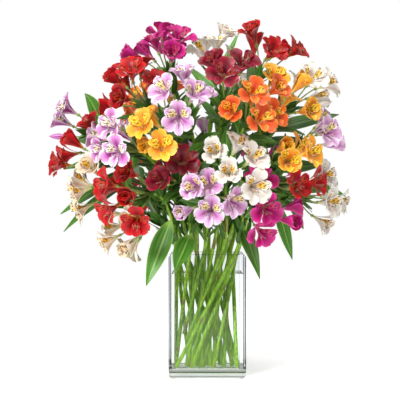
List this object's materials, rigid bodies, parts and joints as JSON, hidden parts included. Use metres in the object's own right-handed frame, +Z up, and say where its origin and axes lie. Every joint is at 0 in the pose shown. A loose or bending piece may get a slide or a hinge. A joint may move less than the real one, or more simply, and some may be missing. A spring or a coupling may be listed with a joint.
{
  "type": "alstroemeria bunch in a glass vase",
  "caption": "Full round bunch of mixed alstroemeria stems with leaves and umbels of funnel flowers, standing in a square clear glass vase of water.",
  "frame": {"origin": "on the floor under the middle of the vase", "axes": "+Z up, the side seen in the picture faces -Y, +X to its right"},
  "size_m": [0.5037, 0.3862, 0.5861],
  "materials": {
    "clear_glass": "clear polished pressed glass",
    "water": "clear still water",
    "green_stem": "living stem and leaf, satin green",
    "petal_magenta": "satin living petal, deep pink",
    "petal_red": "satin living petal, red with dark streaks",
    "petal_crimson": "satin living petal, dark red",
    "petal_white": "satin living petal, white with a yellow blotch and dark streaks",
    "petal_cream": "satin living petal, cream with a pink flush",
    "petal_orange": "satin living petal, orange",
    "petal_yellow": "satin living petal, yellow-orange",
    "petal_lilac": "satin living petal, pale lilac with a darker middle",
    "petal_purple": "satin living petal, purple and white"
  },
  "bodies": {
    "root": {"stem_01": "green_stem", "stem_02": "green_stem", "stem_03": "green_stem", "stem_04": "green_stem", "stem_05": "green_stem", "stem_06": "green_stem", "stem_07": "green_stem", "stem_08": "green_stem", "stem_09": "green_stem", "stem_10": "green_stem", "stem_11": "green_stem", "stem_12": "green_stem", "stem_13": "green_stem", "stem_14": "green_stem", "stem_15": "green_stem", "stem_16": "green_stem", "stem_17": "green_stem", "stem_18": "green_stem", "stem_19": "green_stem", "stem_20": "green_stem", "stem_21": "green_stem", "stem_22": "green_stem", "stem_23": "green_stem", "stem_24": "green_stem", "stem_25": "green_stem", "stem_26": "green_stem", "stem_27": "green_stem", "stem_28": "green_stem", "stem_29": "green_stem", "umbel_01_magenta": "petal_magenta", "umbel_02_red": "petal_red", "umbel_03_white": "petal_white", "umbel_04_red": "petal_red", "umbel_05_crimson": "petal_crimson", "umbel_06_orange": "petal_orange", "umbel_07_yellow": "petal_yellow", "umbel_08_white": "petal_white", "umbel_09_lilac": "petal_lilac", "umbel_10_lilac": "petal_lilac", "umbel_11_purple": "petal_purple", "umbel_12_purple": "petal_purple", "umbel_13_yellow": "petal_yellow", "umbel_14_red": "petal_red", "umbel_15_cream": "petal_cream", "umbel_16_red": "petal_red", "umbel_17_crimson": "petal_crimson", "umbel_18_cream": "petal_cream", "umbel_19_white": "petal_white", "umbel_20_lilac": "petal_lilac", "umbel_21_magenta": "petal_magenta", "umbel_22_red": "petal_red", "umbel_23_yellow": "petal_yellow", "umbel_24_white": "petal_white", "umbel_25_orange": "petal_orange", "umbel_26_white": "petal_white", "umbel_27_red": "petal_red", "umbel_28_magenta": "petal_magenta", "umbel_29_lilac": "petal_lilac", "vase": "clear_glass", "water": "water"}
  },
  "joints": []
}
